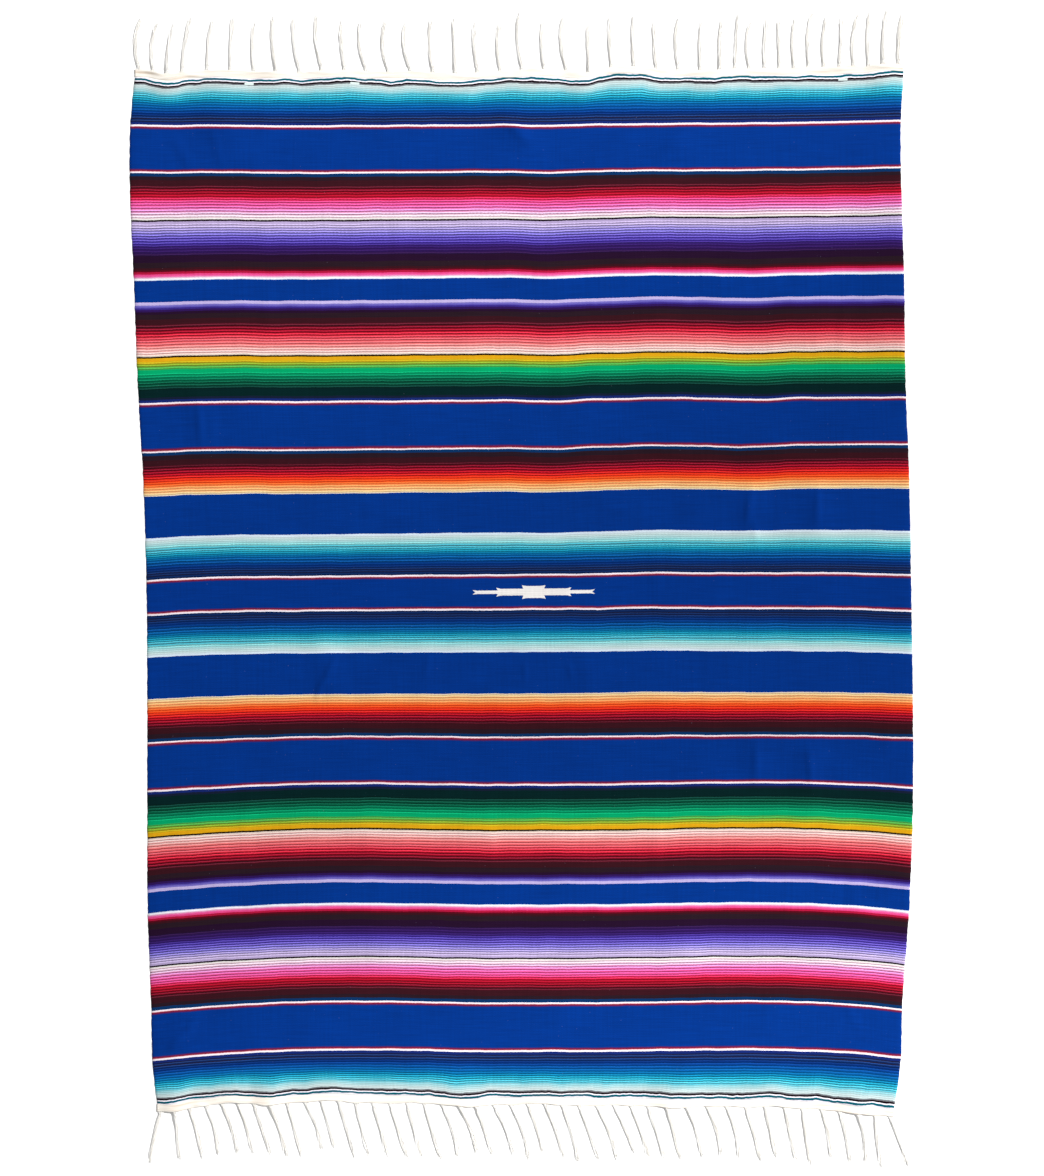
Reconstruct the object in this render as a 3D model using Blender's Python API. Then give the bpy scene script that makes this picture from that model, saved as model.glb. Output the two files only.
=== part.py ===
"""A Mexican serape laid out flat: a weft-striped woven panel, and at each end its cotton heading with the fringe.

Metres, +Z up. +X runs across the cloth and +Y along its warp. The origin is on the floor under the middle of the
whole piece, and the cloth lies on the floor but for a few soft ridges.
"""

import random
from collections import namedtuple

import bmesh
import bpy
import numpy as np

MM = 0.001

# Driving sizes
CLOTH_THICKNESS = 0.002
PANEL_HALF_LENGTH = 1.013
HEADING_DEPTH = 0.014
HEADING_UNEVENNESS = 0.0015
SEAM_GAP = 0.0003
ABOVE_FLOOR = 0.0004
FRINGE_LENGTH = 0.107
FRINGE_UNEVENNESS = 0.009
END_RIPPLE_REACH = 0.075
BOW_POWER = 6
SHARP_ANGLE = 40

# How finely the solids follow the cloth
PANEL_COLUMNS = 48
PANEL_ROWS = 64
ROW_CROWDING = 0.3

# Sections across the cloth from the near end to the far end, in millimetres.
# flat: the weft's distance from the centre line in the cloth as woven, and lies: where its middle lies along Y.
# left and right: the two selvedges along X. rise: how much higher the weft's right end lies than its left end.
# bow: how far its two ends droop below its middle.
Section = namedtuple("Section", "flat lies left right rise bow")
SECTIONS = (
    Section(-1013, -1004, -740, 722, -12, 18),
    Section(-919, -911, -749, 736, 5, 16),
    Section(-825, -816, -751, 738, 4, 15),
    Section(-626, -624, -758, 752, 5, 15),
    Section(-382, -383, -759, 760, 7, 10),
    Section(-287, -288, -759, 760, 10, 7),
    Section(-34, -34, -760, 757, 8, 8),
    Section(34, 34, -761, 756, 12, 7),
    Section(287, 286, -770, 750, 16, 1),
    Section(382, 381, -776, 746, 13, 1),
    Section(626, 628, -786, 742, 14, 0),
    Section(825, 834, -794, 736, 10, -4),
    Section(919, 927, -793, 736, 10, -4),
    Section(1013, 1021, -784, 741, 11, -7),
)

# Small waves of the wefts, in millimetres: across is the wave's place along X, shift how far it moves the wefts
# along Y, reach its half width, and low and high the flat distances that it runs between.
Wave = namedtuple("Wave", "across shift reach low high")
WAVES = (
    Wave(-610, 2, 160, -100, 1100),
    Wave(-370, 5, 310, -1100, -150),
    Wave(40, -3, 90, 0, 1100),
    Wave(437, -3, 90, 60, 760),
    Wave(250, 2, 120, -400, 900),
    Wave(460, 4, 330, -1000, -250),
)

# Ripples at the two ends, in millimetres: across is the ripple's place along X, shift how far it moves the edge
# along Y, reach its half width along X, and height how far it lifts the cloth.
Ripple = namedtuple("Ripple", "across shift reach height")
FAR_RIPPLES = (
    Ripple(-719, -7, 45, 5),
    Ripple(-610, 3, 60, 2),
    Ripple(-500, 1, 50, 4),
    Ripple(-385, 3, 70, 2),
    Ripple(-150, -6, 80, 4),
    Ripple(20, 3, 60, 3),
    Ripple(108, -4, 50, 5),
    Ripple(190, 6, 80, 2),
    Ripple(361, -3, 60, 4),
    Ripple(540, 1, 70, 2),
    Ripple(700, 3, 40, 4),
)
NEAR_RIPPLES = (
    Ripple(-705, -4, 40, 6),
    Ripple(-595, 4, 50, 3),
    Ripple(-520, -2, 40, 5),
    Ripple(-400, 3, 70, 2),
    Ripple(-130, -3, 70, 4),
    Ripple(30, 3, 60, 2),
    Ripple(290, -2, 60, 4),
    Ripple(480, 4, 60, 2),
    Ripple(650, -2, 50, 4),
)

# Soft ridges in the cloth, in millimetres: x and y of the middle, the length, the half width, the height, and the
# turn in degrees of the ridge's run from the Y axis, with the far end to the left where it is positive.
Ridge = namedtuple("Ridge", "x y length half_width height turn")
RIDGES = (
    Ridge(-26, 908, 150, 42, 4, 62),
    Ridge(288, 890, 160, 45, 3, -58),
    Ridge(-600, 905, 210, 60, 3, 20),
    Ridge(-652, 335, 260, 42, 3, 2),
    Ridge(-400, -160, 240, 45, 4, 14),
    Ridge(-205, -150, 190, 40, 2, -8),
    Ridge(436, 160, 260, 45, 3, -6),
    Ridge(569, 165, 240, 42, 3, 8),
    Ridge(450, -330, 250, 45, 3, 7),
    Ridge(556, -345, 220, 42, 3, -9),
    Ridge(110, -155, 170, 36, 2, 12),
    Ridge(-699, -890, 150, 45, 5, -40),
    Ridge(-120, 520, 300, 60, 2, 3),
    Ridge(250, 560, 320, 60, 2, -4),
    Ridge(-320, -640, 300, 60, 2, 5),
    Ridge(300, -700, 280, 55, 2, -6),
)

# Stretches of fringe, in millimetres: the locks of a stretch stand evenly from first to last along X. lean is how
# far a lock's tip lies to the right of its root, and bend how far its middle lies to the right of a straight line.
Stretch = namedtuple("Stretch", "first last locks lean_first lean_last bend")
FAR_STRETCHES = (
    Stretch(-774, -690, 4, 6, 16, -7),
    Stretch(-640, -500, 4, 8, -4, -7),
    Stretch(-455, 340, 19, -12, 2, -6),
    Stretch(378, 732, 13, 2, 6, -3),
)
NEAR_STRETCHES = (
    Stretch(-731, -731, 1, -24, -24, -2),
    Stretch(-704, -704, 1, 8, 8, 0),
    Stretch(-676, -516, 6, 26, 34, 4),
    Stretch(-482, 234, 22, 30, 40, 4),
    Stretch(272, 506, 7, 34, 24, 4),
    Stretch(542, 686, 5, 22, 14, 3),
    Stretch(713, 713, 1, 42, 42, 6),
)

# A lock of warp ends from root to tip: share of its length, and its width and height in millimetres
LockSection = namedtuple("LockSection", "share width height")
LOCK_SECTIONS = (
    LockSection(0.0, 15, 2.0),
    LockSection(0.1, 8, 4.4),
    LockSection(0.32, 8, 4.2),
    LockSection(0.55, 9, 3.8),
    LockSection(0.8, 10, 3.4),
    LockSection(1.0, 7, 2.4),
)
LOCK_SIDEWAYS = 0.005
LOCK_SETTLES = 0.3


def clear_scene():
    for obj in list(bpy.data.objects):
        bpy.data.objects.remove(obj, do_unlink=True)


def bump(t):
    """A smooth hump: 1 where t is 0, and 0 from where t is 1."""
    return np.clip(1 - np.square(t), 0, 1) ** 2


def at_sections(flat):
    """lies, left, right, rise and bow at flat distances, on smooth curves through the table's rows."""
    table = np.array(SECTIONS) * MM
    places, columns = table[:, 0], table[:, 1:]
    slopes = np.gradient(columns, places, axis=0)
    row = np.clip(np.searchsorted(places, flat, side="right") - 1, 0, len(places) - 2)
    step = places[row + 1] - places[row]
    t = ((flat - places[row]) / step)[..., None]
    step = step[..., None]
    value = (
        (2 * t**3 - 3 * t**2 + 1) * columns[row]
        + (t**3 - 2 * t**2 + t) * step * slopes[row]
        + (3 * t**2 - 2 * t**3) * columns[row + 1]
        + (t**3 - t**2) * step * slopes[row + 1]
    )
    return np.moveaxis(value, -1, 0)


def lie_of_cloth(across, flat):
    """Where the cloth's underside lies: x, y and z for points across from -1 to 1, at flat distances."""
    lies, left, right, rise, bow = at_sections(flat)
    x = (left + right) / 2 + (right - left) / 2 * across
    y = lies + rise / 2 * across - bow * np.abs(across) ** BOW_POWER
    z = np.zeros_like(x)
    for wave in WAVES:
        middle, half = (wave.low + wave.high) / 2 * MM, (wave.high - wave.low) / 2 * MM
        along = bump(((flat - middle) / half) ** 3)
        y = y + wave.shift * MM * bump((x - wave.across * MM) / (wave.reach * MM)) * along
    for ripples, end in ((FAR_RIPPLES, 1), (NEAR_RIPPLES, -1)):
        near_end = bump(np.clip(PANEL_HALF_LENGTH - end * flat, 0, None) / END_RIPPLE_REACH)
        for ripple in ripples:
            part = bump((x - ripple.across * MM) / (ripple.reach * MM)) * near_end
            y = y + ripple.shift * MM * part
            z = z + ripple.height * MM * part
    for ridge in RIDGES:
        turn = np.radians(ridge.turn)
        dx, dy = x - ridge.x * MM, y - ridge.y * MM
        along = dy * np.cos(turn) - dx * np.sin(turn)
        aside = dx * np.cos(turn) + dy * np.sin(turn)
        part = bump(aside / (ridge.half_width * MM)) * bump(along / (ridge.length / 2 * MM))
        z = np.maximum(z, ridge.height * MM * part)
    return x, y, z


def column_places():
    return np.linspace(-1, 1, PANEL_COLUMNS + 1)


def row_places():
    """Flat distances of the panel's rows, which stand closer towards the two ends."""
    t = np.linspace(-1, 1, PANEL_ROWS + 1)
    return PANEL_HALF_LENGTH * ((1 + ROW_CROWDING) * t - ROW_CROWDING * t**3)


def new_object(name, mesh_maker, material):
    """An object whose mesh is what mesh_maker puts into a bmesh, shaded smooth but for its sharp edges."""
    mesh = bpy.data.meshes.new(name)
    bm = bmesh.new()
    mesh_maker(bm)
    bmesh.ops.recalc_face_normals(bm, faces=bm.faces)
    bm.to_mesh(mesh)
    bm.free()
    mesh.shade_smooth()
    mesh.set_sharp_from_angle(angle=np.radians(SHARP_ANGLE))
    mesh.materials.append(material)
    obj = bpy.data.objects.new(name, mesh)
    bpy.context.scene.collection.objects.link(obj)
    return obj


def new_material(name, colour, roughness):
    material = bpy.data.materials.new(name)
    material.use_nodes = True
    surface = material.node_tree.nodes["Principled BSDF"]
    surface.inputs["Base Color"].default_value = (*colour, 1)
    surface.inputs["Roughness"].default_value = roughness
    surface.inputs["Metallic"].default_value = 0
    return material


def make_panel(bm):
    """The striped panel: a wall of cloth between its underside and the same form moved up."""
    across, flat = np.meshgrid(column_places(), row_places())
    x, y, z = lie_of_cloth(across, flat)
    rows, columns = x.shape
    under = [[bm.verts.new((x[r, c], y[r, c], z[r, c])) for c in range(columns)] for r in range(rows)]
    over = [
        [bm.verts.new((x[r, c], y[r, c], z[r, c] + CLOTH_THICKNESS)) for c in range(columns)]
        for r in range(rows)
    ]
    for r in range(rows - 1):
        for c in range(columns - 1):
            for grid in (under, over):
                bm.faces.new((grid[r][c], grid[r][c + 1], grid[r + 1][c + 1], grid[r + 1][c]))
    rim = [(0, c) for c in range(columns)]
    rim += [(r, columns - 1) for r in range(1, rows)]
    rim += [(rows - 1, c) for c in range(columns - 2, -1, -1)]
    rim += [(r, 0) for r in range(rows - 2, 0, -1)]
    for (r0, c0), (r1, c1) in zip(rim, rim[1:] + rim[:1]):
        bm.faces.new((under[r0][c0], under[r1][c1], over[r1][c1], over[r0][c0]))


def lock_places(stretches):
    """(root, lean, bend) of each lock of a fringe, in metres, from left to right."""
    places = []
    for stretch in stretches:
        for share in np.linspace(0, 1, stretch.locks):
            root = stretch.first + (stretch.last - stretch.first) * share
            lean = stretch.lean_first + (stretch.lean_last - stretch.lean_first) * share
            places.append((root * MM, lean * MM, stretch.bend * MM))
    return places


def lock_route(end, number, root, lean, bend, start_y, start_z):
    """Middle points of a lock at its sections, with small differences from lock to lock."""
    chance = random.Random(f"lock {end} {number}")
    length = FRINGE_LENGTH + FRINGE_UNEVENNESS * chance.uniform(-1, 1)
    lean = lean + LOCK_SIDEWAYS * chance.uniform(-1, 1)
    bend = bend + LOCK_SIDEWAYS * chance.uniform(-1, 1)
    route = []
    for section in LOCK_SECTIONS:
        s = section.share
        x = root + lean * s + bend * 4 * s * (1 - s)
        y = start_y + end * length * s
        lying = ABOVE_FLOOR + section.height / 2 * MM
        settled = min(s / LOCK_SETTLES, 1)
        z = start_z + (lying - start_z) * settled**2 * (3 - 2 * settled)
        route.append((x, y, max(z, lying)))
    return route


def join_chains(bm, first, second):
    """Fills the strip between two chains of vertices that run along X with triangles."""
    a, b = 0, 0
    while a < len(first) - 1 or b < len(second) - 1:
        take_first = b == len(second) - 1
        if a < len(first) - 1 and b < len(second) - 1:
            take_first = first[a + 1].co.x < second[b + 1].co.x
        if take_first:
            bm.faces.new((first[a], first[a + 1], second[b]))
            a += 1
        else:
            bm.faces.new((first[a], second[b + 1], second[b]))
            b += 1


def make_heading(end, stretches):
    """Returns the maker of one heading: a cotton strip along the panel's edge, with its locks grown out of it."""

    def maker(bm):
        edge = lie_of_cloth(column_places(), np.full(PANEL_COLUMNS + 1, end * PANEL_HALF_LENGTH))
        edge_x, edge_y, edge_z = edge
        locks = lock_places(stretches)
        half_root = LOCK_SECTIONS[0].width / 2 * MM
        outer_x = [edge_x[0]]
        for root, _, _ in locks:
            outer_x += [root - half_root, root + half_root]
        outer_x.append(edge_x[-1])
        unevenness = random.Random(f"heading {end}")
        depths = np.array([unevenness.uniform(-1, 1) for _ in outer_x]) * HEADING_UNEVENNESS + HEADING_DEPTH
        outer_y = np.interp(outer_x, edge_x, edge_y) + end * (SEAM_GAP + depths)
        outer_z = np.interp(outer_x, edge_x, edge_z)
        low, high = ABOVE_FLOOR, CLOTH_THICKNESS
        inner_under = [bm.verts.new((x, y + end * SEAM_GAP, z + low)) for x, y, z in zip(*edge)]
        inner_over = [bm.verts.new((x, y + end * SEAM_GAP, z + high)) for x, y, z in zip(*edge)]
        outer_under = [bm.verts.new((x, y, z + low)) for x, y, z in zip(outer_x, outer_y, outer_z)]
        outer_over = [bm.verts.new((x, y, z + high)) for x, y, z in zip(outer_x, outer_y, outer_z)]
        join_chains(bm, inner_under, outer_under)
        join_chains(bm, inner_over, outer_over)
        for i in range(len(inner_under) - 1):
            bm.faces.new((inner_under[i], inner_under[i + 1], inner_over[i + 1], inner_over[i]))
        for i in (0, -1):
            bm.faces.new((inner_under[i], outer_under[i], outer_over[i], inner_over[i]))
        for i in range(len(outer_under) - 1):
            wall = (outer_under[i], outer_under[i + 1], outer_over[i + 1], outer_over[i])
            if i % 2 == 0:
                bm.faces.new(wall)
            else:
                number = i // 2
                middle_y = (wall[0].co.y + wall[1].co.y) / 2
                middle_z = (wall[0].co.z + wall[2].co.z) / 2
                grow_lock(bm, wall, lock_route(end, number, *locks[number], middle_y, middle_z))

    return maker


def grow_lock(bm, ring, route):
    """Draws a four-sided lock out of a square ring of vertices, along its route, and closes its tip."""
    for section, (x, y, z) in list(zip(LOCK_SECTIONS, route))[1:]:
        width, height = section.width / 2 * MM, section.height / 2 * MM
        corners = ((x - width, y, z), (x, y, z - height), (x + width, y, z), (x, y, z + height))
        next_ring = tuple(bm.verts.new(corner) for corner in corners)
        for i in range(4):
            j = (i + 1) % 4
            bm.faces.new((ring[i], ring[j], next_ring[j], next_ring[i]))
        ring = next_ring
    bm.faces.new(ring)


def centre_on_floor(objects):
    """Moves the meshes together so that the origin is on the floor under the middle of the whole."""
    points = np.array([vertex.co for obj in objects for vertex in obj.data.vertices])
    middle = (points.min(axis=0) + points.max(axis=0)) / 2
    for obj in objects:
        for vertex in obj.data.vertices:
            vertex.co.x -= middle[0]
            vertex.co.y -= middle[1]


def main():
    clear_scene()
    striped_weft = new_material("striped_weft", (0.0, 0.04, 0.31), 0.85)
    ivory_cotton = new_material("ivory_cotton", (0.86, 0.83, 0.76), 0.9)
    panel = new_object("woven_panel", make_panel, striped_weft)
    far = new_object("heading_fringe_far", make_heading(1, FAR_STRETCHES), ivory_cotton)
    near = new_object("heading_fringe_near", make_heading(-1, NEAR_STRETCHES), ivory_cotton)
    centre_on_floor((panel, far, near))


main()
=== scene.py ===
"""The looks of a Mexican serape laid out flat: its striped weave, its cotton headings and its loose fringe.

Metres, +Z up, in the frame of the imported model. Tables are in millimetres of the cloth, with X to the right
and Y along the warp from the cloth's middle; to_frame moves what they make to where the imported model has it.
"""

import random
from collections import namedtuple

import bpy
from mathutils import Euler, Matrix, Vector
import numpy as np

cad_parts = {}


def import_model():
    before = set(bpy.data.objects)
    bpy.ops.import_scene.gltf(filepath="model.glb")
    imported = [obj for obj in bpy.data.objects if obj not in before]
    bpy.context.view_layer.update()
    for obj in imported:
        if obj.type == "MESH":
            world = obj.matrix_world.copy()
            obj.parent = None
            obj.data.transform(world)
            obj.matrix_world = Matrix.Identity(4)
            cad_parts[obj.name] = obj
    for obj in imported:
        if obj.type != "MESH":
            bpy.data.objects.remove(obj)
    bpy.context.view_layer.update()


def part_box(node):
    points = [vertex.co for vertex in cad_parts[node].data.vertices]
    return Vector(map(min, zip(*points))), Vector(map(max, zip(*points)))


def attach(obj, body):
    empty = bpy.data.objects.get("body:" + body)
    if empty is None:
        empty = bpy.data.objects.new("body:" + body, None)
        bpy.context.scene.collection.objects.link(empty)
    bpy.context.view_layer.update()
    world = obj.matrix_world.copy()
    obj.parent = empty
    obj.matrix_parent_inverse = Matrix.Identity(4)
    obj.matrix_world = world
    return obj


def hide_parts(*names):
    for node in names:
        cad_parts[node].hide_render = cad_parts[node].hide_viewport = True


MM = 0.001


def table_of(kind, *rows):
    """A table whose rows have the names of their columns."""
    return tuple(kind(*row) for row in rows)


# The cloth's own sizes, as its solids have them
CLOTH_THICKNESS = 0.002
PANEL_HALF_WIDTH = 0.76
PANEL_HALF_LENGTH = 1.013
HEADING_DEPTH = 0.014
ABOVE_FLOOR = 0.0004
FRINGE_LENGTH = 0.107
FRINGE_UNEVENNESS = 0.009
END_RIPPLE_REACH = 0.075
BOW_POWER = 6

# The selvedges: how uneven the wefts leave them, and from where and by what share the cloth thins out there
SELVEDGE_WANDER = 0.0007
SELVEDGE_FROM = 0.985
THIN_FROM = 0.988
THIN_BY = 0.45

# How far the walls' rims bulge out, how far a heading stands off the panel, and how thick a heading is
PANEL_RIM = 0.00035
HEADING_RIM = 0.0003
HEADING_GAP = 0.0001
HEADING_THICKNESS = 0.0018

# How finely the pieces are drawn
PANEL_COLUMNS = 300
PANEL_ROWS = 288
PANEL_UNDERSIDE_STEP = 3
HEADING_COLUMNS = 620
HEADING_ROWS = 9

# Sections across the cloth from the near end to the far end, in millimetres.
# flat: the weft's distance from the centre line as woven, and lies: where its middle lies along Y.
# left and right: the two selvedges along X. rise: how much further up its right end lies than its left end.
# bow: how far its two ends droop below its middle.
Section = namedtuple("Section", "flat lies left right rise bow")
SECTIONS = table_of(
    Section,
    (-1013, -1004, -740, 722, -12, 18),
    (-919, -911, -749, 736, 5, 16),
    (-825, -816, -751, 738, 4, 15),
    (-626, -624, -758, 752, 5, 15),
    (-382, -383, -759, 760, 7, 10),
    (-287, -288, -759, 760, 10, 7),
    (-34, -34, -760, 757, 8, 8),
    (34, 34, -761, 756, 12, 7),
    (287, 286, -770, 750, 16, 1),
    (382, 381, -776, 746, 13, 1),
    (626, 628, -786, 742, 14, 0),
    (825, 834, -794, 736, 10, -4),
    (919, 927, -793, 736, 10, -4),
    (1013, 1021, -784, 741, 11, -7),
)

# Small waves of the wefts: across is the wave's place along X, shift how far it moves the wefts along Y,
# reach its half width, and low and high the flat distances that it runs between.
Wave = namedtuple("Wave", "across shift reach low high")
WAVES = table_of(
    Wave,
    (-610, 2, 160, -100, 1100),
    (-370, 5, 310, -1100, -150),
    (40, -3, 90, 0, 1100),
    (437, -3, 90, 60, 760),
    (250, 2, 120, -400, 900),
    (460, 4, 330, -1000, -250),
)

# Ripples at the two ends: across is the ripple's place along X, shift how far it moves the edge along Y,
# reach its half width along X, and height how far it lifts the cloth.
Ripple = namedtuple("Ripple", "across shift reach height")
FAR_RIPPLES = table_of(
    Ripple,
    (-719, -7, 45, 5),
    (-610, 3, 60, 2),
    (-500, 1, 50, 4),
    (-385, 3, 70, 2),
    (-150, -6, 80, 4),
    (20, 3, 60, 3),
    (108, -4, 50, 5),
    (190, 6, 80, 2),
    (361, -3, 60, 4),
    (540, 1, 70, 2),
    (700, 3, 40, 4),
)
NEAR_RIPPLES = table_of(
    Ripple,
    (-705, -4, 40, 6),
    (-595, 4, 50, 3),
    (-520, -2, 40, 5),
    (-400, 3, 70, 2),
    (-130, -3, 70, 4),
    (30, 3, 60, 2),
    (290, -2, 60, 4),
    (480, 4, 60, 2),
    (650, -2, 50, 4),
)

# Soft ridges in the cloth: x and y of the middle, the length, the half width, the height, and the turn in
# degrees of the ridge's run from the Y axis, with the far end to the left where it is positive.
Ridge = namedtuple("Ridge", "x y length half_width height turn")
RIDGES = table_of(
    Ridge,
    (-26, 908, 150, 42, 4, 62),
    (288, 890, 160, 45, 3, -58),
    (-600, 905, 210, 60, 3, 20),
    (-652, 335, 260, 42, 3, 2),
    (-400, -160, 240, 45, 4, 14),
    (-205, -150, 190, 40, 2, -8),
    (436, 160, 260, 45, 3, -6),
    (569, 165, 240, 42, 3, 8),
    (450, -330, 250, 45, 3, 7),
    (556, -345, 220, 42, 3, -9),
    (110, -155, 170, 36, 2, 12),
    (-699, -890, 150, 45, 5, -40),
    (-120, 520, 300, 60, 2, 3),
    (250, 560, 320, 60, 2, -4),
    (-320, -640, 300, 60, 2, 5),
    (300, -700, 280, 55, 2, -6),
)

# Finer creases that stand on the cloth, in the same terms
CREASES = table_of(
    Ridge,
    (-30, 922, 60, 10, 4.2, 74),
    (-20, 906, 70, 13, 2.4, 58),
    (286, 894, 80, 13, 2.8, -62),
    (-690, 872, 120, 18, 1.6, 32),
    (-620, 880, 110, 14, 1.2, 14),
    (-655, 335, 120, 11, 2.4, 3),
    (-628, 320, 140, 14, 1.2, -2),
    (-398, -158, 90, 11, 3.6, -22),
    (-418, -196, 70, 10, 2.8, -14),
    (-205, -150, 70, 9, 2.1, -10),
    (-10, -158, 60, 9, 2.1, 4),
    (80, -158, 66, 9, 2.1, 14),
    (434, 166, 110, 12, 3, -9),
    (446, 120, 90, 11, 2.1, 8),
    (570, 170, 110, 12, 3.3, -3),
    (449, -334, 120, 12, 2.8, 0),
    (556, -348, 110, 12, 2.8, 5),
    (-700, -892, 60, 13, 3.6, -48),
    (-672, -862, 80, 14, 2.4, -30),
    (640, -842, 110, 16, 1.3, 28),
    (-520, 560, 220, 22, 1.4, 4),
    (-260, 700, 240, 20, 1.2, -3),
    (60, 420, 260, 22, 1.2, 2),
    (620, 520, 240, 20, 1.4, -5),
    (-560, -420, 240, 22, 1.4, -3),
    (-80, -480, 250, 20, 1.2, 4),
    (250, -520, 230, 22, 1.2, -3),
    (640, -560, 220, 20, 1.4, 5),
    (-330, 250, 200, 18, 1.1, -4),
    (250, 40, 220, 20, 1.1, 3),
)

# Waves of a heading's outer edge: the depth and the length over 2 pi, in millimetres, and the phase
EdgeWave = namedtuple("EdgeWave", "depth length phase")
EDGE_WAVES = table_of(
    EdgeWave,
    (0.8, 31, 1),
    (0.6, 12.7, 2),
    (0.4, 7.1, 0),
)

# Tucks of the two headings, in the same terms as the ridges
FAR_TUCKS = table_of(
    Ridge,
    (-752, 1032, 60, 6, 2.2, 80),
    (-716, 1020, 70, 5, 2.0, 104),
    (-664, 1024, 90, 6, 1.8, 82),
    (-560, 1030, 120, 5, 1.4, 92),
    (-430, 1033, 140, 6, 1.6, 84),
    (-290, 1024, 130, 5, 1.2, 96),
    (-120, 1022, 150, 6, 1.4, 86),
    (40, 1026, 120, 5, 1.2, 94),
    (170, 1032, 140, 6, 1.4, 88),
    (330, 1030, 130, 5, 1.2, 95),
    (470, 1032, 140, 6, 1.5, 86),
    (610, 1038, 130, 6, 1.8, 93),
    (700, 1042, 70, 5, 1.6, 84),
)
NEAR_TUCKS = table_of(
    Ridge,
    (-700, -1026, 60, 6, 2.0, 100),
    (-640, -1020, 90, 6, 2.2, 82),
    (-575, -1014, 80, 5, 1.8, 100),
    (-480, -1018, 110, 6, 1.8, 84),
    (-340, -1012, 140, 5, 1.2, 94),
    (-180, -1013, 140, 6, 1.4, 87),
    (-20, -1011, 130, 5, 1.2, 95),
    (140, -1010, 140, 6, 1.4, 86),
    (290, -1012, 130, 5, 1.3, 93),
    (430, -1009, 130, 6, 1.4, 85),
    (570, -1016, 120, 5, 1.6, 94),
    (670, -1030, 80, 6, 2.0, 78),
)

# Stretches of fringe: the locks of a stretch stand evenly from first to last along X. lean is how far a
# lock's tip lies to the right of its root, and bend how far its middle lies to the right of a straight line.
Stretch = namedtuple("Stretch", "first last locks lean_first lean_last bend")
FAR_STRETCHES = table_of(
    Stretch,
    (-774, -690, 4, 6, 16, -7),
    (-640, -500, 4, 8, -4, -7),
    (-455, 340, 19, -12, 2, -6),
    (378, 732, 13, 2, 6, -3),
)
NEAR_STRETCHES = table_of(
    Stretch,
    (-731, -731, 1, -24, -24, -2),
    (-704, -704, 1, 8, 8, 0),
    (-676, -516, 6, 26, 34, 4),
    (-482, 234, 22, 30, 40, 4),
    (272, 506, 7, 34, 24, 4),
    (542, 686, 5, 22, 14, 3),
    (713, 713, 1, 42, 42, 6),
)

# A lock of warp ends from root to tip: share of its length, and its width and height in millimetres
LockSection = namedtuple("LockSection", "share width height")
LOCK_SECTIONS = table_of(
    LockSection,
    (0.0, 15, 2.0),
    (0.1, 8, 4.4),
    (0.32, 8, 4.2),
    (0.55, 9, 3.8),
    (0.8, 10, 3.4),
    (1.0, 7, 2.4),
)
LOCK_SIDEWAYS = 0.005
LOCK_SETTLES = 0.3

# The threads of a lock
THREADS = 17
THREAD_RADIUS = 0.00052
THREAD_TIP = 0.35
THREAD_SIDES = 4
THREAD_RINGS = 13
THREAD_STARTS_INSIDE = 0.006

# How they lie in it: the twist in radians, the share of the length that one may lack, the share at which
# they are gathered, the share from which they come loose and how far, and how far and often they sway
LOCK_TWIST = (1.2, 3.4)
THREAD_LACKS = 0.12
GATHERED_AT = 0.1
LOOSE_FROM = 0.55
LOOSE_BY = 0.003
SWAY = 0.0005
SWAY_TURNS = (5, 9)
GOLDEN_ANGLE = 2.4

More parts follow.
